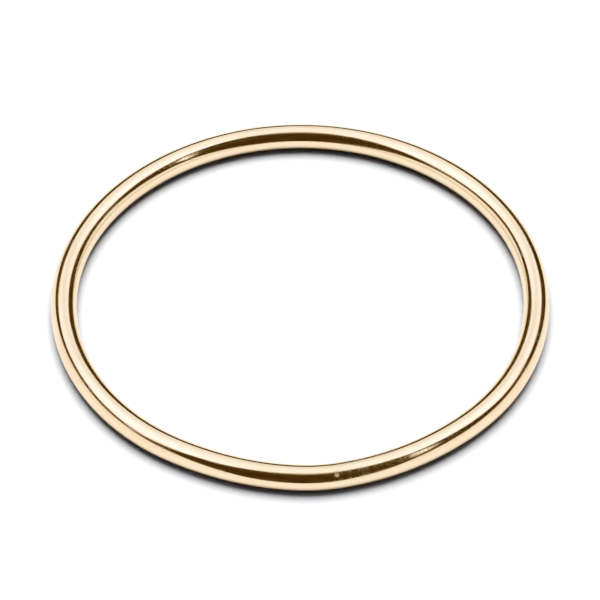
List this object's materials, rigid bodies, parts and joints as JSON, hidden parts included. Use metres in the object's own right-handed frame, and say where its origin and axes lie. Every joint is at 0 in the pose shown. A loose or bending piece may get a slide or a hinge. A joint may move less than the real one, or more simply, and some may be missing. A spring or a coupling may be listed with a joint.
{
  "type": "stackable ring",
  "caption": "Plain round-wire stacking ring, polished gold, lying flat on its side with an open finger hole.",
  "frame": {"origin": "centre of the finger hole, on the plane that the ring lies on", "axes": "+Z along the ring's axis, upward as the ring lies on its side; X and Y across the finger hole"},
  "size_m": [0.0194, 0.0194, 0.001],
  "materials": {
    "polished_gold": "high polish, warm pale gold, with fine transverse polishing marks"
  },
  "bodies": {
    "root": {"ring_band": "polished_gold"}
  },
  "joints": []
}
